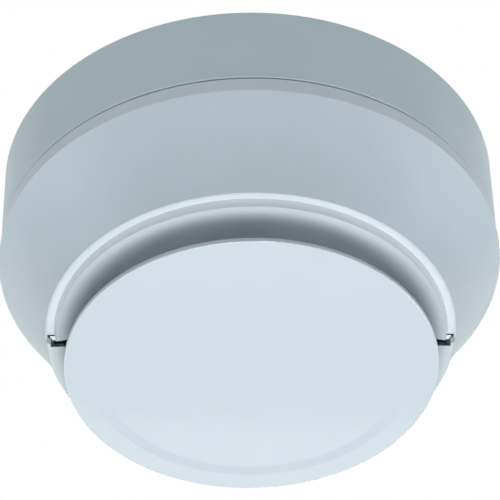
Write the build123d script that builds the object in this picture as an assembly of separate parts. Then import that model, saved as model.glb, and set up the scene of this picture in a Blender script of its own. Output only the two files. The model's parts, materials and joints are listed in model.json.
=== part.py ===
from build123d import *
from math import atan, cos, radians, sin, tan
import os

# Point heat detector: a detector head that twists into a ceiling base.
# Millimetres. The origin is the centre of the base's back face, on the ceiling,
# with +Z up into the ceiling, so that the whole body hangs towards -Z.
# +X and -X carry the two collar notches, and the indicator ring is on the -Y side.

# --- Driving dimensions: outside ---------------------------------------------
RIM_R = 55.0            # widest circle, where the band turns into the cone
RIM_Z = -24.4
BASE_BACK_R = 54.2      # the skirt widens a little towards the head
BASE_MOUTH_R = 54.6
BASE_MOUTH_Z = -20.1
SEAM = 0.3              # gap between base and head
EDGE = 0.2              # softened edge at the seam
COLLAR_R = 44.4         # end of the cone
COLLAR_Z = -44.05
RING_OUTER_R = 44.05    # indicator ring, lying flush in the collar
RING_INNER_R = 42.5
RING_TOP_Z = -42.3
LIP_R = 42.0            # lip that stands below the ring
LIP_Z = -45.75
CAP_R = 40.3
CAP_FACE_Z = -54.2
CAP_BACK_Z = -52.98
CONE_HOLLOW = 0.7       # the cone is slightly hollow, by this much at its middle
WALL = 2.2

# --- Driving dimensions: air funnel and notches ------------------------------
FUNNEL_SLOPE = 20.0     # degrees above horizontal, rising towards the middle
FUNNEL_BLEND_R = 14.0   # radius that turns the lip into the funnel
BLEND_START = 6.0       # degrees, the faint crease where that radius starts
THROAT_R = 17.0
FUNNEL_WALL = 1.9
COLLAR_TOP_Z = -40.6
NOTCH_START = 0.15      # both half rings end this far past the X axis
NOTCH_LIP_START = 0.3
NOTCH_END = 2.2
NOTCH_RIM_END = 1.3     # outside the light pipe the notch is shorter
NOTCH_IN_R = 39.7
NOTCH_OUT_R = 43.3

# --- Driving dimensions: inside ----------------------------------------------
BACK_TOP_Z = -1.0       # the back plate is sunk behind its rim and pads
BACK_LOW_Z = -3.2
SKIRT_IN_R = 52.3
CABLE_HOLE_R = 11.0
CABLE_R = 4.0
SLOT_SPACING = 60.0
SLOT_LENGTH = 20.0
SLOT_R = 2.25
SLOT_PAD = 3.0
KNOCKOUT_R = 6.0        # scored discs beside the cable hole
KNOCKOUT_PLACE = 29.0
BAYONET_ANGLES = (90, 210, 330)
HEAD_TWIST = 18         # degrees from locked to free
LUG_WIDTH = 12          # degrees
RAMP_WIDTH = 16
LUG_TOP_Z = -13.6
LUG_LOW_Z = -16.2
RAMP_TOP_Z = -16.5
RAMP_LOW_Z = -18.5
LUG_R = 51.4
RAMP_R = 47.5
HOUSING_R = 46.8
HOUSING_TOP_Z = -13.5
HOUSING_PLATE = 1.8
FLANGE_TOP_Z = -20.6
FLANGE_LOW_Z = -22.4
FLANGE_R = 52.1
BOSS_R = 49.3           # bolt circle of the housing screws
BOSS_LOW_Z = -28.2
BOSS_ANGLES = (30, 150, 270)
BOARD_R = 42.3
BOARD_TOP_Z = -23.0
BOARD_LOW_Z = -24.6
BOARD_POST_R = 36.0
BOARD_POST_ANGLES = (0, 120, 240)
TERMINAL_R = 32.0
TERMINAL_ANGLES = (45, 135, 225, 315)
CONTACT_WIDTH = 5.0
CONTACT_GAP = 0.4
BLADE_TOP_Z = -10.0
STRIP = 0.6
CLAMP = 1.2
POST_LOW_Z = -7.9
SCREW_REACH = 9.0       # from a blade to its terminal screw, along the tangent
LEG_ANGLES = (45, 135, 225, 315)
LEG_IN_R = 22.5
LEG_OUT_R = 27.5
LEG_WIDTH = 1.8
LEG_TOP_Z = -36.4
PIPE_LIP = 43.5
PIPE_IN = 42.35
PIPE_START = 0.55
PIPE_END = 1.9
PIPE_SKEW = 0.5
PIPE_TIP_TOP = -40.3
DIAL_PLACES = {"tens": (-8.5, 15.0), "units": (8.5, 15.0)}
DIAL_R = 3.4
LEVER_ANGLE = 72
LEVER_PIVOT = -7.0
LEVER_PIN_Z = -9.5

SLOPE = tan(radians(FUNNEL_SLOPE))
CONE = (RIM_R - COLLAR_R) / (RIM_Z - COLLAR_Z)
CONE_WALL = WALL / cos(atan(CONE))


# --- Helpers -----------------------------------------------------------------
def turned(*points):
    """Solid of revolution about Z, from an outline of (radius, height) points."""
    outline = Polyline(*[(r, 0, z) for r, z in points], close=True)
    return revolve(make_face(outline), Axis.Z)


def tube(outer, inner, low, high):
    """Straight tube about Z between two heights."""
    return turned((inner, low), (outer, low), (outer, high), (inner, high))


def block(x, y, z):
    """Box between pairs of X, Y and Z limits."""
    size = [high - low for low, high in (x, y, z)]
    middle = [(high + low) / 2 for low, high in (x, y, z)]
    return Pos(*middle) * Box(*size)


def rod(x, y, radius, low, high):
    """Upright cylinder at (x, y) between two heights."""
    return Pos(x, y, (low + high) / 2) * Cylinder(radius, high - low)


def sector(r_in, r_out, low, high, middle, width):
    """Block of a ring, `width` degrees wide about the angle `middle`."""
    outline = Polyline((r_in, 0, low), (r_out, 0, low), (r_out, 0, high), (r_in, 0, high), close=True)
    return Rot(0, 0, middle - width / 2) * revolve(make_face(outline), Axis.Z, width)


def placed(angle, shape):
    """Turn a shape that was made on the +X axis to another angle about Z."""
    return Rot(0, 0, angle) * shape


def joined(shapes):
    """One part that holds several separate solids."""
    return Compound(children=[shape.solid() for shape in shapes])


def pan_screw(x, y, seat, tip, head_r, shaft_r, head, faces=-1):
    """Pan-head screw with a cross recess; `faces` is -1 for a head below its seat."""
    head_low, head_high = sorted((seat, seat + faces * head))
    screw = rod(x, y, head_r, head_low, head_high) + rod(x, y, shaft_r, *sorted((tip, seat)))
    crown = screw.edges().filter_by(GeomType.CIRCLE).sort_by(Axis.Z)[0 if faces < 0 else -1]
    screw = fillet(crown, head * 0.35)
    face = seat + faces * head
    depth = sorted((face + faces, face - faces * head * 0.5))
    for long, short in ((head_r, 0.25), (0.25, head_r)):
        reach_x = (x - long * 0.6, x + long * 0.6)
        reach_y = (y - short * 0.6, y + short * 0.6)
        screw -= block(reach_x, reach_y, depth)
    return screw


def blend_point(degrees_up):
    """Point of the lip's blend where its slope has reached this angle."""
    across = sin(radians(degrees_up)) - sin(radians(BLEND_START))
    rise = cos(radians(BLEND_START)) - cos(radians(degrees_up))
    return LIP_R - FUNNEL_BLEND_R * across, 0, LIP_Z + FUNNEL_BLEND_R * rise


def funnel_height(radius):
    """Height of the funnel's visible surface inside its blend radius."""
    start_r, _, start_z = blend_point(FUNNEL_SLOPE)
    return start_z + (start_r - radius) * SLOPE


def slot_tool(grow, low, high):
    """Both fixing slots, grown all round by `grow`, between two heights."""
    stadium = SlotOverall(SLOT_LENGTH + 2 * grow, 2 * (SLOT_R + grow))
    tools = [Pos(side * SLOT_SPACING / 2, 0, low) * stadium for side in (-1, 1)]
    return [extrude(tool, amount=high - low) for tool in tools]


def base_back(shell):
    """Pads, hub and ribs that meet the ceiling, fixing slots, ramp windows and knock-outs."""
    for pad in slot_tool(SLOT_PAD, BACK_TOP_Z - 0.5, 0):
        shell += pad
    shell += tube(CABLE_HOLE_R + 2.5, CABLE_HOLE_R, BACK_TOP_Z - 0.5, 0)
    for angle in range(30, 360, 30):
        if angle % 90:
            rib = block((CABLE_HOLE_R + 1, SKIRT_IN_R), (-0.6, 0.6), (BACK_TOP_Z - 0.5, -0.2))
            shell += placed(angle, rib)
    for hole in slot_tool(0, BACK_LOW_Z - 1, 1):
        shell -= hole
    for angle in BAYONET_ANGLES:
        window = sector(RAMP_R - 0.3, SKIRT_IN_R - 1.0, BACK_LOW_Z - 1, 1, angle, RAMP_WIDTH + 1)
        shell -= window
    for side in (-1, 1):
        groove = tube(KNOCKOUT_R + 0.5, KNOCKOUT_R, BACK_TOP_Z - 0.7, 1)
        shell -= Pos(0, side * KNOCKOUT_PLACE, 0) * groove
    return shell


def base_bayonet(shell):
    """Ramps that carry the head's lugs, each with a stop at the locked end."""
    for angle in BAYONET_ANGLES:
        shell += sector(RAMP_R, SKIRT_IN_R + 0.4, RAMP_LOW_Z, RAMP_TOP_Z, angle, RAMP_WIDTH)
        stop = angle + LUG_WIDTH / 2 + 1.6
        shell += sector(RAMP_R, SKIRT_IN_R + 0.4, RAMP_TOP_Z, LUG_TOP_Z + 1, stop, 2.4)
    return shell


def base_terminal_posts(shell):
    """Square posts that the contact strips are screwed to."""
    for angle in TERMINAL_ANGLES:
        post = block((TERMINAL_R - 4.5, TERMINAL_R + 4.5), (SCREW_REACH - 4.5, SCREW_REACH + 4.5),
                     (POST_LOW_Z, BACK_LOW_Z + 0.5))
        post -= rod(TERMINAL_R, SCREW_REACH, 1.55, POST_LOW_Z - 1, BACK_LOW_Z - 0.4)
        shell += placed(angle, post)
    return shell


def base_lever_mount(shell):
    """Two ears for the locking lever's pin, and the slot that a tool reaches it by."""
    ear = block((46.4, 47.7), (LEVER_PIVOT - 2.5, LEVER_PIVOT + 2.5), (LEVER_PIN_Z - 2.4, BACK_LOW_Z + 0.5))
    outer = block((50.9, 51.9), (LEVER_PIVOT - 2.5, LEVER_PIVOT + 2.5), (LEVER_PIN_Z - 2.4, BACK_LOW_Z + 0.5))
    hole = Pos(49.2, LEVER_PIVOT, LEVER_PIN_Z) * Rot(0, 90, 0) * Cylinder(0.8, 8)
    shell += placed(LEVER_ANGLE, (ear + outer) - hole)
    return shell - placed(LEVER_ANGLE, block((51.6, 56), (2.0, 4.2), (-13.5, -6.5)))


def base_shell():
    body = turned((BASE_BACK_R - 0.2, 0), (BASE_BACK_R, -0.2), (BASE_MOUTH_R, BASE_MOUTH_Z + EDGE),
                  (BASE_MOUTH_R - EDGE, BASE_MOUTH_Z), (SKIRT_IN_R + 0.1, BASE_MOUTH_Z),
                  (SKIRT_IN_R, BACK_LOW_Z), (CABLE_HOLE_R, BACK_LOW_Z), (CABLE_HOLE_R, BACK_TOP_Z),
                  (SKIRT_IN_R - 0.3, BACK_TOP_Z), (SKIRT_IN_R - 0.3, 0))
    return base_lever_mount(base_terminal_posts(base_bayonet(base_back(body))))


def cable_grommet():
    """Rubber seal that snaps into the cable hole, with a waist and a soft inner lip."""
    return turned((CABLE_R, -2.7), (CABLE_R + 1.2, -3.4), (CABLE_HOLE_R - 2, -3.4),
                  (CABLE_HOLE_R - 1, -4.4), (CABLE_HOLE_R + 1.2, -4.4), (CABLE_HOLE_R + 1.2, BACK_LOW_Z),
                  (CABLE_HOLE_R, BACK_LOW_Z), (CABLE_HOLE_R, -0.4), (CABLE_HOLE_R - 1, -0.4),
                  (CABLE_HOLE_R - 2, -1.6), (CABLE_R + 1.2, -1.6), (CABLE_R, -2.1))


def terminal_contact(angle):
    """Sprung strip: screwed flat on its post, stepped down to where the blade wipes it."""
    top = POST_LOW_Z
    wipe = BLADE_TOP_Z + CONTACT_GAP
    points = [(SCREW_REACH + 4, top), (SCREW_REACH - 5, top), (SCREW_REACH - 6.5, wipe + STRIP),
              (-6.5, wipe + STRIP), (-9.5, wipe + STRIP + 1.6), (-9.5, wipe + 1.6 + 0.2),
              (-6.6, wipe), (SCREW_REACH - 6.8, wipe), (SCREW_REACH - 5.3, top - STRIP),
              (SCREW_REACH + 4, top - STRIP)]
    side = Plane(origin=(TERMINAL_R - CONTACT_WIDTH / 2, 0, 0), x_dir=(0, 1, 0), z_dir=(1, 0, 0))
    strip = extrude(side * make_face(Polyline(*points, close=True)), amount=CONTACT_WIDTH)
    pad = block((TERMINAL_R - 4, TERMINAL_R + 4), (SCREW_REACH - 4, SCREW_REACH + 4), (top - STRIP, top))
    strip = strip + pad - rod(TERMINAL_R, SCREW_REACH, 1.6, top - 2, top + 1)
    return placed(angle, strip)


def clamp_plate(angle):
    """Square wire clamp with two turned-up edges."""
    top = POST_LOW_Z - STRIP
    plate = block((TERMINAL_R - 3.6, TERMINAL_R + 3.6), (SCREW_REACH - 3.6, SCREW_REACH + 3.6),
                  (top - CLAMP, top))
    for side in (-1, 1):
        middle = TERMINAL_R + side * 4.05
        plate += block((middle - 0.5, middle + 0.5), (SCREW_REACH - 3.6, SCREW_REACH + 3.6),
                       (top - CLAMP - 0.9, top - 0.1))
    plate -= rod(TERMINAL_R, SCREW_REACH, 1.6, top - 3, top + 1)
    return placed(angle, plate)


def terminal_screws():
    seat = POST_LOW_Z - STRIP - CLAMP
    screw = pan_screw(TERMINAL_R, SCREW_REACH, seat, -4.0, 3.0, 1.5, 2.0)
    return joined([placed(angle, screw) for angle in TERMINAL_ANGLES])


def lock_pivot_pin():
    pin = Pos(49.0, LEVER_PIVOT, LEVER_PIN_Z) * Rot(0, 90, 0) * Cylinder(0.75, 5.0)
    return placed(LEVER_ANGLE, pin)


def lock_lever():
    """Rocking lever: its tooth drops beside a lug and stops the head from turning."""
    lever = block((48.1, 50.5), (-9.2, 9.0), (-11.0, -8.0))
    lever += block((48.1, 50.5), (6.2, 9.0), (-13.2, -8.0))
    lever = fillet(lever.edges().filter_by(Axis.X), 0.6)
    lever -= Pos(49.3, LEVER_PIVOT, LEVER_PIN_Z) * Rot(0, 90, 0) * Cylinder(0.8, 5)
    lever -= Pos(49.3, 3.1, LEVER_PIN_Z) * Rot(0, 90, 0) * Cylinder(0.9, 5)
    return placed(LEVER_ANGLE, lever)


# --- Head: outside -----------------------------------------------------------
def head_shell():
    top = BASE_MOUTH_Z - SEAM
    bore_top = COLLAR_Z + (RING_OUTER_R + CONE_WALL - COLLAR_R) / CONE
    rim = (RIM_R, 0, RIM_Z)
    collar = (COLLAR_R, 0, COLLAR_Z)
    middle = ((RIM_R + COLLAR_R) / 2 - CONE_HOLLOW * cos(atan(CONE)), 0,
              (RIM_Z + COLLAR_Z) / 2 + CONE_HOLLOW * sin(atan(CONE)))
    inside = [collar, (RING_OUTER_R, 0, COLLAR_Z), (RING_OUTER_R, 0, bore_top),
              (RIM_R - CONE_WALL, 0, RIM_Z), (BASE_MOUTH_R - 2.2, 0, top),
              (BASE_MOUTH_R - EDGE, 0, top), (BASE_MOUTH_R + 0.03, 0, top - EDGE), rim]
    shell = revolve(make_face([ThreePointArc(rim, middle, collar), Polyline(*inside)]), Axis.Z)
    for angle in BOSS_ANGLES:
        boss = rod(BOSS_R, 0, 2.6, BOSS_LOW_Z, FLANGE_LOW_Z)
        shell += placed(angle, boss)
        shell -= placed(angle, rod(BOSS_R, 0, 1.1, BOSS_LOW_Z + 1.5, FLANGE_LOW_Z + 1))
    return shell


def collar_outline():
    """Section of the collar: rim, shoulder, flat lip, blend, funnel and roof."""
    roof = funnel_height(THROAT_R)
    shoulder = [(44.25, 0, COLLAR_Z - 0.9), (44.0, 0, LIP_Z + 0.25), (43.2, 0, LIP_Z)]
    blend = [blend_point(angle) for angle in (BLEND_START, (BLEND_START + FUNNEL_SLOPE) / 2, FUNNEL_SLOPE)]
    lip_top = roof + FUNNEL_WALL - (38.8 - THROAT_R + 0.4) * SLOPE
    inside = [blend[2], (THROAT_R, 0, roof), (4.0, 0, roof), (4.0, 0, roof + FUNNEL_WALL),
              (THROAT_R - 0.4, 0, roof + FUNNEL_WALL), (38.8, 0, lip_top), (41.2, 0, lip_top),
              (41.2, 0, COLLAR_TOP_Z), (RING_OUTER_R, 0, COLLAR_TOP_Z), (RING_OUTER_R, 0, COLLAR_Z),
              (COLLAR_R - 0.02, 0, COLLAR_Z), shoulder[0]]
    return [ThreePointArc(*shoulder), Line(shoulder[2], blend[0]), ThreePointArc(*blend), Polyline(*inside)]


def near_half():
    """Block that holds everything on the -Y side, up to where the rings end."""
    return block((-60, 60), (-60, NOTCH_START), (-60, 0))


def hollow_slot(inner, outer, depth):
    """Slot through the lip between two distances along X, hollowed behind its far edge."""
    section = Polyline((NOTCH_LIP_START, -47), (NOTCH_END, -47), (NOTCH_END, LIP_Z + 0.1),
                       (NOTCH_END + depth, LIP_Z + 0.1 + depth * 0.87), (NOTCH_END + depth, -40),
                       (NOTCH_LIP_START, -40), close=True)
    plane = Plane(origin=(inner, 0, 0), x_dir=(0, 1, 0), z_dir=(1, 0, 0))
    return extrude(plane * make_face(section), amount=outer - inner)


def collar_notches(collar):
    """The slots across lip and rim at both ends of the indicator ring."""
    lip = hollow_slot(NOTCH_IN_R, 42.8, 4.8)
    heel = hollow_slot(42.7, NOTCH_OUT_R, 2.2)
    rim = block((42.25, 45), (NOTCH_START - 0.01, NOTCH_RIM_END), (-47, -40))
    for tool in (lip, heel, rim):
        collar -= tool
        collar -= mirror(tool, Plane.YZ)
    return collar


def collar_ring():
    collar = revolve(make_face(collar_outline()), Axis.Z)
    draft = (RING_INNER_R - LIP_R) / (COLLAR_Z - LIP_Z)
    low = LIP_Z - 0.4
    rebate = turned((RING_INNER_R, RING_TOP_Z), (RING_INNER_R, COLLAR_Z),
                    (LIP_R - 0.4 * draft, low), (46, low), (46, RING_TOP_Z))
    collar = collar_notches(collar - (rebate & near_half()))
    for angle in LEG_ANGLES:
        slot = block((LEG_IN_R - 0.2, LEG_OUT_R + 0.2), (-LEG_WIDTH / 2 - 0.15, LEG_WIDTH / 2 + 0.15),
                     (-45, -30))
        collar -= placed(angle, slot)
    return collar


def indicator_ring():
    """Translucent half ring that lights up from its two ends."""
    ring = turned((RING_OUTER_R, RING_TOP_Z), (RING_OUTER_R, COLLAR_Z), (RING_INNER_R + 0.03, COLLAR_Z),
                  (RING_INNER_R + 0.03, RING_TOP_Z))
    return ring & near_half()


def cap_leg():
    """One leg of the cap, with a barb that catches above the funnel."""
    leg = block((LEG_IN_R, LEG_OUT_R), (-LEG_WIDTH / 2, LEG_WIDTH / 2), (CAP_BACK_Z - 0.4, LEG_TOP_Z))
    catch = funnel_height(LEG_OUT_R + 0.8) + FUNNEL_WALL + 0.9
    barb = Polyline((LEG_OUT_R - 0.5, catch), (LEG_OUT_R + 0.8, catch),
                    (LEG_OUT_R + 0.8, catch + 0.5), (LEG_OUT_R - 0.5, catch + 1.9), close=True)
    side = Plane(origin=(0, LEG_WIDTH / 2, 0), x_dir=(1, 0, 0), z_dir=(0, -1, 0))
    return leg + extrude(side * make_face(barb), amount=LEG_WIDTH)


def sensor_cap():
    """Flat round cap: a plain border, a very shallow dish, and a ring rib behind."""
    border, dish, depth = 35.5, 32.8, 0.07
    low = CAP_FACE_Z
    corner = 0.3
    face = [(0, 0, low + depth), (dish, 0, low + depth)]
    sweep = Spline((dish, 0, low + depth), (border, 0, low), tangents=[(1, 0, 0), (1, 0, 0)])
    edge = Polyline((border, 0, low), (CAP_R - corner, 0, low))
    round_middle = (CAP_R - corner * (1 - cos(radians(45))), 0, low + corner * (1 - sin(radians(45))))
    round_edge = ThreePointArc((CAP_R - corner, 0, low), round_middle, (CAP_R, 0, low + corner))
    back = Polyline((CAP_R, 0, low + corner), (CAP_R, 0, CAP_BACK_Z - 0.15),
                    (CAP_R - 0.15, 0, CAP_BACK_Z), (0, 0, CAP_BACK_Z), (0, 0, low + depth))
    cap = revolve(make_face([Line(*face), sweep, edge, round_edge, back]), Axis.Z)
    cap += tube(LEG_OUT_R, LEG_OUT_R - 1.2, CAP_BACK_Z - 0.2, CAP_BACK_Z + 0.8)
    for angle in LEG_ANGLES:
        cap += placed(angle, cap_leg())
    return cap


# --- Head: back and board ----------------------------------------------------
def rear_housing():
    """Chassis that closes the back of the head and carries the bayonet lugs."""
    low = HOUSING_TOP_Z - HOUSING_PLATE
    housing = turned((0, HOUSING_TOP_Z), (HOUSING_R - 0.5, HOUSING_TOP_Z), (HOUSING_R, HOUSING_TOP_Z - 0.5),
                     (HOUSING_R, FLANGE_TOP_Z), (FLANGE_R, FLANGE_TOP_Z), (FLANGE_R, FLANGE_LOW_Z),
                     (HOUSING_R - 1.8, FLANGE_LOW_Z), (HOUSING_R - 1.8, low), (0, low))
    for angle in BAYONET_ANGLES:
        housing += sector(HOUSING_R - 0.9, LUG_R, LUG_LOW_Z, LUG_TOP_Z, angle, LUG_WIDTH)
    for angle in BOARD_POST_ANGLES:
        housing += placed(angle, rod(BOARD_POST_R, 0, 2.8, BOARD_TOP_Z, low + 0.3))
        housing -= placed(angle, rod(BOARD_POST_R, 0, 1.15, BOARD_TOP_Z - 1, low - 1.2))
    for angle in BOSS_ANGLES:
        housing -= placed(angle, rod(BOSS_R, 0, 1.4, FLANGE_LOW_Z - 1, FLANGE_TOP_Z + 1))
    for angle in TERMINAL_ANGLES:
        slot = block((TERMINAL_R - 2.6, TERMINAL_R + 2.6), (-0.5, 0.5), (low - 1, HOUSING_TOP_Z + 1))
        housing -= placed(angle, slot)
    for x, y in DIAL_PLACES.values():
        housing -= rod(x, y, DIAL_R + 0.8, low - 1, HOUSING_TOP_Z + 1)
    return housing


def housing_screws():
    screw = pan_screw(BOSS_R, 0, FLANGE_TOP_Z, FLANGE_LOW_Z - 4.0, 2.3, 1.05, 1.4, faces=1)
    return joined([placed(angle, screw) for angle in BOSS_ANGLES])


def contact_blade(angle):
    """Blade with a flat foot that wipes under the base contact; its tail meets the board."""
    foot = block((TERMINAL_R - 2.4, TERMINAL_R + 2.4), (-3.0, 3.0), (BLADE_TOP_Z - 0.8, BLADE_TOP_Z))
    foot = fillet(foot.edges().filter_by(Axis.X), 0.35)
    stem = block((TERMINAL_R - 2.4, TERMINAL_R + 2.4), (-0.4, 0.4), (BOARD_TOP_Z, BLADE_TOP_Z - 0.4))
    tail = block((TERMINAL_R - 0.9, TERMINAL_R + 0.9), (-0.4, 0.4), (BOARD_LOW_Z - 0.9, BOARD_TOP_Z))
    return placed(angle, foot + stem + tail)


def circuit_board():
    board = rod(0, 0, BOARD_R, BOARD_LOW_Z, BOARD_TOP_Z)
    for angle in BOARD_POST_ANGLES:
        board -= placed(angle, rod(BOARD_POST_R, 0, 1.3, BOARD_LOW_Z - 1, BOARD_TOP_Z + 1))
    for angle in TERMINAL_ANGLES:
        slot = block((TERMINAL_R - 1.1, TERMINAL_R + 1.1), (-0.55, 0.55), (BOARD_LOW_Z - 1, BOARD_TOP_Z + 1))
        board -= placed(angle, slot)
    for side in (-1, 1):
        board -= rod(side * 0.7, 0, 0.4, BOARD_LOW_Z - 1, BOARD_TOP_Z + 1)
    return board


def board_screws():
    screw = pan_screw(BOARD_POST_R, 0, BOARD_LOW_Z, BOARD_TOP_Z + 5, 2.3, 1.1, 1.5)
    return joined([placed(angle, screw) for angle in BOARD_POST_ANGLES])


def address_switch(place):
    """Rotary switch body with a round well for its dial."""
    x, y = place
    body = block((x - 4.8, x + 4.8), (y - 4.8, y + 4.8), (BOARD_TOP_Z, -15.8))
    body = chamfer(body.edges().filter_by(Axis.Z), 0.6)
    body -= rod(x, y, DIAL_R + 0.3, -18.6, -15)
    return body - rod(x, y, 1.3, -21.5, -18)


def address_dial(place):
    """Dial with a screwdriver slot and a pointer notch, on a short spindle."""
    x, y = place
    dial = rod(x, y, DIAL_R, -18.2, -14.0) + rod(x, y, 1.25, -21.0, -18.2)
    dial -= block((x - DIAL_R * 0.8, x + DIAL_R * 0.8), (y - 0.45, y + 0.45), (-15.2, -13))
    return dial - block((x + DIAL_R * 0.62, x + DIAL_R * 1.1), (y - 0.9, y + 0.9), (-14.6, -13))


# --- Head: parts on the board ------------------------------------------------
def thermistor_holder():
    """Sleeve on the board that leads the sensing wires out through the funnel's roof."""
    return turned((1.3, BOARD_LOW_Z), (6.0, BOARD_LOW_Z), (6.0, -25.8), (3.4, -25.8),
                  (3.4, -42.5), (2.2, -44.5), (1.3, -44.5))


def thermistor_leads():
    return joined([rod(side * 0.7, 0, 0.25, -48.3, BOARD_TOP_Z + 0.5) for side in (-1, 1)])


def thermistor_bead():
    """Epoxy-dipped bead: a rounded drop with a flat top where the two wires go in."""
    low, wide, high = -51.6, -50.2, -48.3
    top_r, belly_r = 1.05, 1.4
    drop = ThreePointArc((0, 0, low), (belly_r * 0.72, 0, low + 0.42), (belly_r, 0, wide))
    neck = ThreePointArc((belly_r, 0, wide), (belly_r * 0.94, 0, wide + 1.0), (top_r, 0, high))
    core = Polyline((top_r, 0, high), (0, 0, high), (0, 0, low))
    return revolve(make_face([drop, neck, core]), Axis.Z)


def reference_thermistor():
    """Small bead held below the board on two legs, out of the air stream."""
    x, y, z = 0, -24, -27.6
    bead = Pos(x, y, z) * Sphere(1.2)
    for side in (-1, 1):
        bead += rod(x + side * 0.6, y, 0.25, z, BOARD_LOW_Z)
    return bead


def microcontroller():
    """Square package with rows of leads on all four sides."""
    x, y = 15, -14
    chip = block((x - 5, x + 5), (y - 5, y + 5), (BOARD_LOW_Z - 1.6, BOARD_LOW_Z - 0.2))
    chip = chamfer(chip.edges().group_by(Axis.Z)[0], 0.3)
    chip -= rod(x - 3.6, y + 3.6, 0.5, BOARD_LOW_Z - 2, BOARD_LOW_Z - 1.5)
    for row in range(8):
        offset = -3.85 + row * 1.1
        for side in (-1, 1):
            outer = sorted((side * 4.9, side * 6.0))
            level = (BOARD_LOW_Z - 0.6, BOARD_LOW_Z)
            along = (offset - 0.2, offset + 0.2)
            chip += block([x + v for v in outer], [y + v for v in along], level)
            chip += block([x + v for v in along], [y + v for v in outer], level)
    return chip


def bridge_rectifier():
    """Four-legged surface package."""
    x, y = -15, -15
    body = block((x - 4.2, x + 4.2), (y - 3.2, y + 3.2), (BOARD_LOW_Z - 2.6, BOARD_LOW_Z - 0.2))
    body = chamfer(body.edges().group_by(Axis.Z)[0], 0.4)
    for dx in (-2.5, 2.5):
        for side in (-1, 1):
            leg = sorted((side * 3.1, side * 4.4))
            across = (x + dx - 0.6, x + dx + 0.6)
            body += block(across, [y + v for v in leg], (BOARD_LOW_Z - 0.8, BOARD_LOW_Z))
    return body


def surge_suppressor():
    x, y = -26, -6
    body = block((x - 1.6, x + 1.6), (y - 2.6, y + 2.6), (BOARD_LOW_Z - 2.3, BOARD_LOW_Z - 0.1))
    body = chamfer(body.edges().group_by(Axis.Z)[0], 0.3)
    for side in (-1, 1):
        leg = sorted((side * 2.5, side * 3.3))
        body += block((x - 0.9, x + 0.9), [y + v for v in leg], (BOARD_LOW_Z - 1.0, BOARD_LOW_Z))
    return body


def capacitors():
    """Two electrolytic cans on their square feet."""
    cans = []
    for x, y in ((-13, 12), (-22, 7)):
        foot = block((x - 3.3, x + 3.3), (y - 3.3, y + 3.3), (BOARD_LOW_Z - 0.8, BOARD_LOW_Z))
        can = rod(x, y, 3.1, BOARD_LOW_Z - 6.4, BOARD_LOW_Z - 0.5)
        can = fillet(can.edges().group_by(Axis.Z)[0], 0.4)
        cans.append(foot + can)
    return joined(cans)


def chip_resistors():
    """A few identical chip parts near the controller and the rectifier."""
    chips = []
    for column in range(4):
        for row in range(3):
            x = 8 + column * 4.2
            y = 6 + row * 3.4
            chips.append(block((x - 1, x + 1), (y - 0.62, y + 0.62), (BOARD_LOW_Z - 0.55, BOARD_LOW_Z)))
    return joined(chips)


def reed_switch():
    """Glass reed for the magnet test, on two bent wires."""
    x, y, z = 8, -28, -26.4
    glass = Pos(x, y, z) * Rot(0, 90, 0) * Cylinder(1.1, 11)
    glass = fillet(glass.edges().filter_by(GeomType.CIRCLE), 0.7)
    for side in (-1, 1):
        wire = Pos(x + side * 6.4, y, z) * Rot(0, 90, 0) * Cylinder(0.3, 2.4)
        glass += wire + rod(x + side * 7.5, y, 0.3, z, BOARD_LOW_Z)
    return glass


def indicator_led(side):
    x, y = side * 40.2, (PIPE_START + PIPE_END) / 2
    led = block((x - 1.0, x + 1.0), (y - 0.62, y + 0.62), (BOARD_LOW_Z - 0.5, BOARD_LOW_Z))
    return led + rod(x, y, 0.5, BOARD_LOW_Z - 0.9, BOARD_LOW_Z - 0.4)


def light_pipe(side):
    """Clear rod from the LED to the notch, bent outwards, with a slanting tip."""
    top = BOARD_LOW_Z - 1.2
    width = PIPE_LIP - PIPE_IN
    points = [(39.6, top), (39.6 + width, top), (PIPE_LIP, -39.5), (PIPE_LIP, PIPE_TIP_TOP),
              (PIPE_IN, PIPE_TIP_TOP), (PIPE_IN, -39.8)]
    plane = Plane(origin=(0, PIPE_END, 0), x_dir=(1, 0, 0), z_dir=(0, -1, 0))
    pipe = extrude(plane * make_face(Polyline(*points, close=True)), amount=PIPE_END - PIPE_START)
    corners = [(PIPE_IN, PIPE_START), (PIPE_LIP, PIPE_START), (PIPE_LIP - PIPE_SKEW, PIPE_END),
               (PIPE_IN - PIPE_SKEW, PIPE_END)]
    tip = extrude(Plane.XY.offset(COLLAR_Z) * make_face(Polyline(*corners, close=True)),
                  amount=PIPE_TIP_TOP - COLLAR_Z)
    pipe += tip
    return pipe if side > 0 else mirror(pipe, Plane.YZ)


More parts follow.
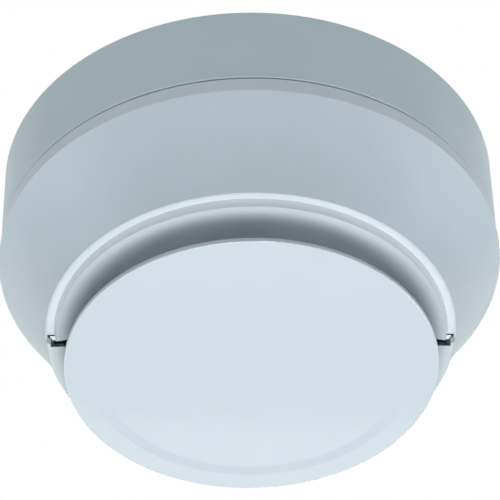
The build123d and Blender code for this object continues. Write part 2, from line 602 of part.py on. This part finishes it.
# --- The whole set -----------------------------------------------------------
def all_parts():
    parts = {
        "base_shell": base_shell(),
        "cable_grommet": cable_grommet(),
        "terminal_screws": terminal_screws(),
        "lock_pivot_pin": lock_pivot_pin(),
        "lock_lever": lock_lever(),
        "head_shell": head_shell(),
        "collar_ring": collar_ring(),
        "indicator_ring": indicator_ring(),
        "sensor_cap": sensor_cap(),
        "rear_housing": rear_housing(),
        "housing_screws": housing_screws(),
        "circuit_board": circuit_board(),
        "board_screws": board_screws(),
        "thermistor_holder": thermistor_holder(),
        "thermistor_leads": thermistor_leads(),
        "thermistor_bead": thermistor_bead(),
        "reference_thermistor": reference_thermistor(),
        "microcontroller": microcontroller(),
        "bridge_rectifier": bridge_rectifier(),
        "surge_suppressor": surge_suppressor(),
        "capacitors": capacitors(),
        "chip_resistors": chip_resistors(),
        "reed_switch": reed_switch(),
    }
    for number, angle in enumerate(TERMINAL_ANGLES, 1):
        parts[f"terminal_contact_{number}"] = terminal_contact(angle)
        parts[f"clamp_plate_{number}"] = clamp_plate(angle)
        parts[f"contact_blade_{number}"] = contact_blade(angle)
    for name, place in DIAL_PLACES.items():
        parts[f"address_switch_{name}"] = address_switch(place)
        parts[f"address_dial_{name}"] = address_dial(place)
    for name, side in (("left", -1), ("right", 1)):
        parts[f"light_pipe_{name}"] = light_pipe(side)
        parts[f"indicator_led_{name}"] = indicator_led(side)
    return parts


os.makedirs("parts", exist_ok=True)
for node, shape in all_parts().items():
    export_step(shape, f"parts/{node}.step")
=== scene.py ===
import bpy
import json
import math
from mathutils import Matrix, Vector


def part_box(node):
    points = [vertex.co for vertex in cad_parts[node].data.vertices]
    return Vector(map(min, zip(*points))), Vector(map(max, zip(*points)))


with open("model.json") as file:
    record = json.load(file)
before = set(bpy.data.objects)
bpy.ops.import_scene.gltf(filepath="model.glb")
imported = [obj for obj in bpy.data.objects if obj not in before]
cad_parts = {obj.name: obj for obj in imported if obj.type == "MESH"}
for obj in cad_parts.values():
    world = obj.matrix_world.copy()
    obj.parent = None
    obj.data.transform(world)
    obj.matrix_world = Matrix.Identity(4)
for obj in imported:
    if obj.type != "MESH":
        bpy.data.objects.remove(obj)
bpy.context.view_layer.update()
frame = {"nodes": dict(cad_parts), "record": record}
NODES = frame["nodes"]

MM = 0.001
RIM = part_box("head_shell")[1].x     # rim radius, the camera's unit of length
SHARP_ANGLE = 24                    # degrees between faces, from which an edge is shaded sharp
CAP_EDGE_Z = -53.8                  # mm, where the cap's polished face ends on its rim


# --- Material building blocks ------------------------------------------------
class Surface:
    """One node-based material in the object's own coordinates, built from a few named layers."""

    def __init__(self, name):
        self.material = bpy.data.materials.new(name)
        self.material.use_nodes = True
        self.tree = self.material.node_tree
        self.shader = self.tree.nodes["Principled BSDF"]
        self.place = self.node("ShaderNodeTexCoord").outputs["Object"]

    def node(self, kind, **settings):
        made = self.tree.nodes.new(kind)
        for key, value in settings.items():
            setattr(made, key, value)
        return made

    def link(self, output, target):
        self.tree.links.new(output, target)

    def set(self, **values):
        """Values that are the same all over, on the shader's own sockets."""
        for key, value in values.items():
            self.shader.inputs[key.replace("_", " ")].default_value = value

    def noise(self, size_mm, detail=3.0, rough=0.5, stretch=(1, 1, 1)):
        """Noise whose features are about size_mm across."""
        scaled = self.node("ShaderNodeMapping")
        scaled.inputs["Scale"].default_value = stretch
        self.link(self.place, scaled.inputs["Vector"])
        made = self.node("ShaderNodeTexNoise")
        made.inputs["Scale"].default_value = 1.0 / (size_mm * MM)
        made.inputs["Detail"].default_value = detail
        made.inputs["Roughness"].default_value = rough
        self.link(scaled.outputs["Vector"], made.inputs["Vector"])
        return made.outputs["Fac"]

    def ramp(self, factor, low, high, start=0.35, end=0.65):
        """Colour that runs from low to high as the factor goes from start to end."""
        made = self.node("ShaderNodeValToRGB")
        made.color_ramp.elements[0].position = start
        made.color_ramp.elements[0].color = (*low, 1)
        made.color_ramp.elements[1].position = end
        made.color_ramp.elements[1].color = (*high, 1)
        self.link(factor, made.inputs["Fac"])
        return made.outputs["Color"]

    def shadowed(self, colour, reach_mm, dark, closed, open_at):
        """The same colour with painted shade, darkened in corners and gaps narrower than the reach.

        A point less open than `closed` takes `dark` of the colour, one more open than
        `open_at` all of it.
        """
        nook = self.node("ShaderNodeAmbientOcclusion", samples=12)
        nook.inputs["Distance"].default_value = reach_mm * MM
        share = self.ramp(nook.outputs["AO"], (dark, dark, dark), (1, 1, 1), closed, open_at)
        made = self.node("ShaderNodeMix", data_type="RGBA", blend_type="MULTIPLY")
        made.inputs["Factor"].default_value = 1.0
        self.link(colour, made.inputs["A"])
        self.link(share, made.inputs["B"])
        return made.outputs["Result"]

    def matt_back(self, gloss, height_mm):
        """The same roughness on the polished face, and a matt surface above this height."""
        split = self.node("ShaderNodeSeparateXYZ")
        self.link(self.place, split.inputs["Vector"])
        above = self.node("ShaderNodeMath", operation="GREATER_THAN")
        above.inputs[1].default_value = height_mm * MM
        self.link(split.outputs["Z"], above.inputs[0])
        made = self.node("ShaderNodeMix", data_type="FLOAT")
        made.inputs["B"].default_value = 0.6
        self.link(above.outputs["Value"], made.inputs["Factor"])
        self.link(gloss, made.inputs["A"])
        return made.outputs["Result"]

    def spread(self, factor, low, high):
        """Number that runs from low to high with the factor."""
        made = self.node("ShaderNodeMapRange")
        made.inputs["From Min"].default_value = 0.3
        made.inputs["From Max"].default_value = 0.7
        made.inputs["To Min"].default_value = low
        made.inputs["To Max"].default_value = high
        self.link(factor, made.inputs["Value"])
        return made.outputs["Result"]

    def bumps(self, *layers):
        """Stack of bump layers, each (height output, depth in mm)."""
        normal = None
        for height, depth in layers:
            made = self.node("ShaderNodeBump")
            made.inputs["Distance"].default_value = depth * MM
            made.inputs["Strength"].default_value = 1.0
            self.link(height, made.inputs["Height"])
            if normal:
                self.link(normal, made.inputs["Normal"])
            normal = made.outputs["Normal"]
        self.link(normal, self.shader.inputs["Normal"])


def shade(colour, factor):
    """The colour, brighter or darker, and never brighter than white."""
    return tuple(min(1.0, channel * factor) for channel in colour)


def moulded(name, colour, rough, grain=0.35, depth=0.004, mottle=0.015, glow=0.0, painted_glow=0.0,
            nook=0.0, dark=0.1, closed=0.1, open_at=0.45, matt_above=None):
    """Moulded plastic: faint cloudy colour, fine spark-erosion grain, uneven gloss.

    grain and depth are the grain's size and height in mm, and mottle is how far the colour
    wanders. glow is how much light passes under the surface; lit is a painted glow given off, though it
    is no lamp.
    nook is the width in mm of the gaps painted with shade. Above matt_above, in mm, it isn't polished.
    """
    made = Surface(name)
    cloud = made.noise(14, detail=4)
    paint = made.ramp(cloud, shade(colour, 1 - mottle), shade(colour, 1 + mottle))
    if nook:
        paint = made.shadowed(paint, nook, dark, closed, open_at)
    made.link(paint, made.shader.inputs["Base Color"])
    gloss = made.spread(made.noise(5, detail=5), rough - 0.04, rough + 0.05)
    if matt_above is not None:
        gloss = made.matt_back(gloss, matt_above)
    made.link(gloss, made.shader.inputs["Roughness"])
    made.bumps((made.noise(9, detail=2), depth * 1.6),
               (made.noise(grain, detail=4, rough=0.6), depth))
    made.set(IOR=1.56)
    if glow:
        made.set(Subsurface_Weight=glow, Subsurface_Scale=1.5 * MM, Subsurface_Radius=(1.0, 1.0, 1.0))
    # painted glow: the surface's own colour given off as light, though the part is no lamp
    if painted_glow:
        made.link(paint, made.shader.inputs["Emission Color"])
        made.set(Emission_Strength=painted_glow)
    return made.material


def metal(name, colour, rough, brush=(1, 1, 0.05)):
    """Plated or tinned metal with drawn lines and a faint bloom of tarnish."""
    made = Surface(name)
    bloom = made.noise(3, detail=5)
    made.link(made.ramp(bloom, shade(colour, 0.82), shade(colour, 1.04)),
              made.shader.inputs["Base Color"])
    made.link(made.spread(made.noise(1.5, detail=6), rough - 0.08, rough + 0.12),
              made.shader.inputs["Roughness"])
    made.bumps((made.noise(0.12, detail=3, stretch=brush), 0.002))
    made.set(Metallic=1.0)
    return made.material


def rubber(name):
    """Black rubber with dusty patches and a pebbled skin."""
    made = Surface(name)
    dust = made.noise(4, detail=6)
    made.link(made.ramp(dust, (0.018, 0.018, 0.019), (0.045, 0.045, 0.046)),
              made.shader.inputs["Base Color"])
    made.link(made.spread(made.noise(1.2, detail=5), 0.55, 0.8), made.shader.inputs["Roughness"])
    made.bumps((made.noise(0.6, detail=6, rough=0.65), 0.012))
    return made.material


def laminate(name):
    """Green circuit board: solder resist over a woven base, with copper runs under it."""
    made = Surface(name)
    cells = made.node("ShaderNodeTexVoronoi", feature="DISTANCE_TO_EDGE", distance="MANHATTAN")
    cells.inputs["Scale"].default_value = 1 / (5.5 * MM)
    made.link(made.place, cells.inputs["Vector"])
    runs = made.ramp(cells.outputs["Distance"], (0.055, 0.27, 0.10), (0.012, 0.115, 0.045), 0.05, 0.075)
    made.link(runs, made.shader.inputs["Base Color"])
    made.link(made.spread(made.noise(2, detail=4), 0.22, 0.34), made.shader.inputs["Roughness"])
    made.bumps((cells.outputs["Distance"], 0.02), (made.noise(0.5, detail=2), 0.004))
    return made.material


def clear(name, colour, rough=0.12, cover=0.75):
    """Clear or frosted resin and glass."""
    made = Surface(name)
    made.link(made.ramp(made.noise(3), shade(colour, 0.96), shade(colour, 1.02)),
              made.shader.inputs["Base Color"])
    made.link(made.spread(made.noise(1.5, detail=4), rough, rough + 0.08),
              made.shader.inputs["Roughness"])
    made.bumps((made.noise(0.8, detail=3), 0.003))
    made.set(IOR=1.5, Transmission_Weight=cover)
    return made.material


# --- Materials of the object -------------------------------------------------
MATERIALS = {
    # the same white plastic as the head, painted lighter to stand in for light on the base's wall
    "base_plastic": moulded("base plastic", (0.78, 0.912, 0.935), rough=0.42),
    "head_plastic": moulded("head plastic", (0.775, 0.86, 0.885), rough=0.40),
    # painted shade within 3 mm of corners, in the channel under the cap and the notches
    "collar_plastic": moulded("collar plastic", (0.82, 0.848, 0.862), rough=0.40, nook=3.0),
    # the head's white plastic, painted a little lighter to stand in for light on the cap's face
    "cap_plastic": moulded("cap plastic", (0.84, 0.882, 0.91), rough=0.055, depth=0.0003,
                           mottle=0.006, matt_above=CAP_EDGE_Z),
    # painted glow, though the ring has no lamp in it, and painted shade in its corners
    "diffuser_plastic": moulded("diffuser plastic", (0.905, 0.93, 0.945), rough=0.35, glow=0.3,
                                painted_glow=0.04, nook=0.9),
    "housing_plastic": moulded("housing plastic", (0.62, 0.66, 0.67), rough=0.5, depth=0.008),
    "lever_plastic": moulded("lever plastic", (0.55, 0.05, 0.03), rough=0.45),
    "sleeve_plastic": moulded("sleeve plastic", (0.68, 0.71, 0.71), rough=0.45),
    "switch_plastic": moulded("switch plastic", (0.02, 0.04, 0.10), rough=0.45),
    "dial_plastic": moulded("dial plastic", (0.65, 0.22, 0.03), rough=0.45),
    "chip_black": moulded("chip epoxy", (0.022, 0.022, 0.024), rough=0.55, depth=0.008,
                          mottle=0.1),
    "bead_epoxy": moulded("bead epoxy", (0.03, 0.03, 0.035), rough=0.25, grain=0.8, mottle=0.1),
    "rubber_seal": rubber("seal rubber"),
    "contact_metal": metal("contact metal", (0.70, 0.62, 0.48), rough=0.28),
    "plated_steel": metal("plated steel", (0.66, 0.67, 0.68), rough=0.32, brush=(1, 0.05, 1)),
    "screw_steel": metal("screw steel", (0.62, 0.63, 0.65), rough=0.30, brush=(0.4, 0.4, 1)),
    "tinned_wire": metal("tinned wire", (0.72, 0.72, 0.73), rough=0.25),
    "can_aluminium": metal("can aluminium", (0.76, 0.77, 0.79), rough=0.35, brush=(0.05, 0.05, 1)),
    "board_laminate": laminate("board laminate"),
    "reed_glass": clear("reed glass", (0.72, 0.86, 0.76)),
    # painted highlight: a bright colour and glow make the tip white, though it is no lamp; painted
    # shade darkens the slot round it
    "light_pipe_acrylic": moulded("light pipe acrylic", (0.88, 0.96, 1.0), rough=0.2, painted_glow=0.3,
                                  nook=1.5, dark=0.03, closed=0.42, open_at=0.8),
    "led_lens": clear("LED lens", (0.92, 0.85, 0.55), rough=0.2, cover=0.5),
}


def dress_nodes():
    """Give each CAD node its slot's material and smooth shading across its round faces."""
    slots = {part["node"]: part["material_slot"] for part in frame["record"]["subparts"]}
    for name, node in NODES.items():
        node.data.materials.clear()
        node.data.materials.append(MATERIALS[slots[name]])
        node.data.shade_smooth()
        node.data.set_sharp_from_angle(angle=math.radians(SHARP_ANGLE))


# --- Floor, light, camera ----------------------------------------------------
FLOOR_Z = -1.26
FLOOR_HALF = 9.0
WORLD_FILL = 0.046
COOL = (0.885, 1.0, 1.065)          # slightly blue light
LAMPS = [                           # name, place, width in metres, watts, colour
    ("key below", (0.0, -0.25, -0.85), 0.6, 5.5, (0.915, 1.0, 1.04)),
    ("overhead", (0.0, -0.2, 1.8), 3.0, 27.5, COOL),
    ("right rear", (1.3, 0.8, -0.55), 0.8, 4.5, COOL),
    ("left rear", (-1.3, 0.8, -0.55), 0.8, 1.3, COOL),
    ("left rear high", (-1.0, 1.2, -0.25), 0.8, 2.9, COOL),
    ("right side", (1.5, -0.2, -0.1), 0.8, 2.3, COOL),
    ("left side", (-1.5, -0.2, -0.1), 0.8, 2.3, COOL),
]


def make_floor():
    """A wide pale floor well below the hanging object, which throws no light up at it."""
    mesh = bpy.data.meshes.new("floor")
    signs = ((-1, -1), (1, -1), (1, 1), (-1, 1))
    corners = [(x * FLOOR_HALF, y * FLOOR_HALF, FLOOR_Z) for x, y in signs]
    mesh.from_pydata(corners, [], [(0, 1, 2, 3)])
    floor = bpy.data.objects.new("floor", mesh)
    bpy.context.scene.collection.objects.link(floor)
    made = Surface("floor paint")
    made.link(made.ramp(made.noise(900, detail=2), (0.88, 0.88, 0.88), (0.90, 0.90, 0.90)),
              made.shader.inputs["Base Color"])
    made.set(Roughness=0.85, Emission_Color=(1, 1, 1, 1), Emission_Strength=0.4)
    mesh.materials.append(made.material)
    floor.visible_diffuse = False


def make_light(name, place, size, power, colour):
    """Soft round lamp aimed at the object, not seen itself."""
    lamp = bpy.data.lights.new(name, "AREA")
    lamp.shape = "DISK"
    lamp.size = size
    lamp.energy = power
    lamp.color = colour
    lamp_object = bpy.data.objects.new(name, lamp)
    lamp_object.location = place
    lamp_object.rotation_euler = (-Vector(place)).to_track_quat("-Z", "Y").to_euler()
    lamp_object.visible_camera = False
    bpy.context.scene.collection.objects.link(lamp_object)


def make_card():
    """Bright card below and behind the object, there only as a reflection in the glossy cap."""
    lamp = bpy.data.lights.new("card", "AREA")
    lamp.shape = "RECTANGLE"
    lamp.size = 1.6
    lamp.size_y = 0.8
    lamp.energy = 3.8
    lamp.color = (0.95, 1.0, 1.02)
    card = bpy.data.objects.new("card", lamp)
    card.location = (0, 1.458, -0.94)
    card.rotation_euler = (math.pi, 0, math.radians(1.2))
    card.visible_camera = False
    card.visible_diffuse = False
    bpy.context.scene.collection.objects.link(card)


def make_sun():
    """Soft warm light straight down, on the upper side and the floor alone."""
    lamp = bpy.data.lights.new("sun", "SUN")
    lamp.energy = 1.1
    lamp.angle = math.radians(12)
    lamp.color = (1.0, 0.93, 0.915)
    bpy.context.scene.collection.objects.link(bpy.data.objects.new("sun", lamp))


def make_world():
    """Even dim light from all sides, with a plain white backdrop to be seen and mirrored."""
    world = bpy.data.worlds.new("studio")
    world.use_nodes = True
    tree = world.node_tree
    light = tree.nodes["Background"]
    light.inputs["Color"].default_value = (*shade(COOL, WORLD_FILL), 1)
    seen = tree.nodes.new("ShaderNodeBackground")
    seen.inputs["Color"].default_value = (1, 1, 1, 1)
    path = tree.nodes.new("ShaderNodeLightPath")
    either = tree.nodes.new("ShaderNodeMath")
    either.operation = "MAXIMUM"
    tree.links.new(path.outputs["Is Camera Ray"], either.inputs[0])
    tree.links.new(path.outputs["Is Glossy Ray"], either.inputs[1])
    mix = tree.nodes.new("ShaderNodeMixShader")
    tree.links.new(either.outputs["Value"], mix.inputs["Fac"])
    tree.links.new(light.outputs["Background"], mix.inputs[1])
    tree.links.new(seen.outputs["Background"], mix.inputs[2])
    tree.links.new(mix.outputs["Shader"], tree.nodes["World Output"].inputs["Surface"])
    bpy.context.scene.world = world


def make_lights():
    make_world()
    make_sun()
    make_card()
    for name, place, size, power, colour in LAMPS:
        make_light(name, place, size, power, colour)


CAMERA_DISTANCE = 16.92             # rim radii
CAMERA_TILT = 42.72                 # degrees below the ceiling plane
CAMERA_ROLL = -1.155                # degrees
CAMERA_TURN = -1.5                  # degrees round the object, which isn't quite square to the view
CAMERA_AIM = (0.0034, -0.2583)      # rim radii to the right of the origin and above it
CAMERA_LENS = 299.55                # mm
SENSOR_WIDTH = 36                   # mm


def make_camera():
    """The photograph's viewpoint: below the object and in front of it, looking up."""
    tilt = math.radians(CAMERA_TILT)
    forward = Vector((0, math.cos(tilt), math.sin(tilt)))
    right = Vector((1, 0, 0))
    up = Vector((0, -math.sin(tilt), math.cos(tilt)))
    aim = right * CAMERA_AIM[0] * RIM + up * CAMERA_AIM[1] * RIM
    place = aim - forward * CAMERA_DISTANCE * RIM
    axes = Matrix((right, up, -forward)).transposed()
    roll = Matrix.Rotation(math.radians(CAMERA_ROLL), 3, "Z")
    turn = Matrix.Rotation(math.radians(CAMERA_TURN), 4, "Z")
    camera = bpy.data.cameras.new("camera")
    camera.lens = CAMERA_LENS
    camera.sensor_width = SENSOR_WIDTH
    camera.clip_start = 0.01
    camera_object = bpy.data.objects.new("camera", camera)
    camera_object.matrix_world = turn @ Matrix.Translation(place) @ (axes @ roll).to_4x4()
    bpy.context.scene.collection.objects.link(camera_object)
    bpy.context.scene.camera = camera_object


dress_nodes()
make_floor()
make_lights()
make_camera()
bpy.context.scene.view_settings.view_transform = "Standard"
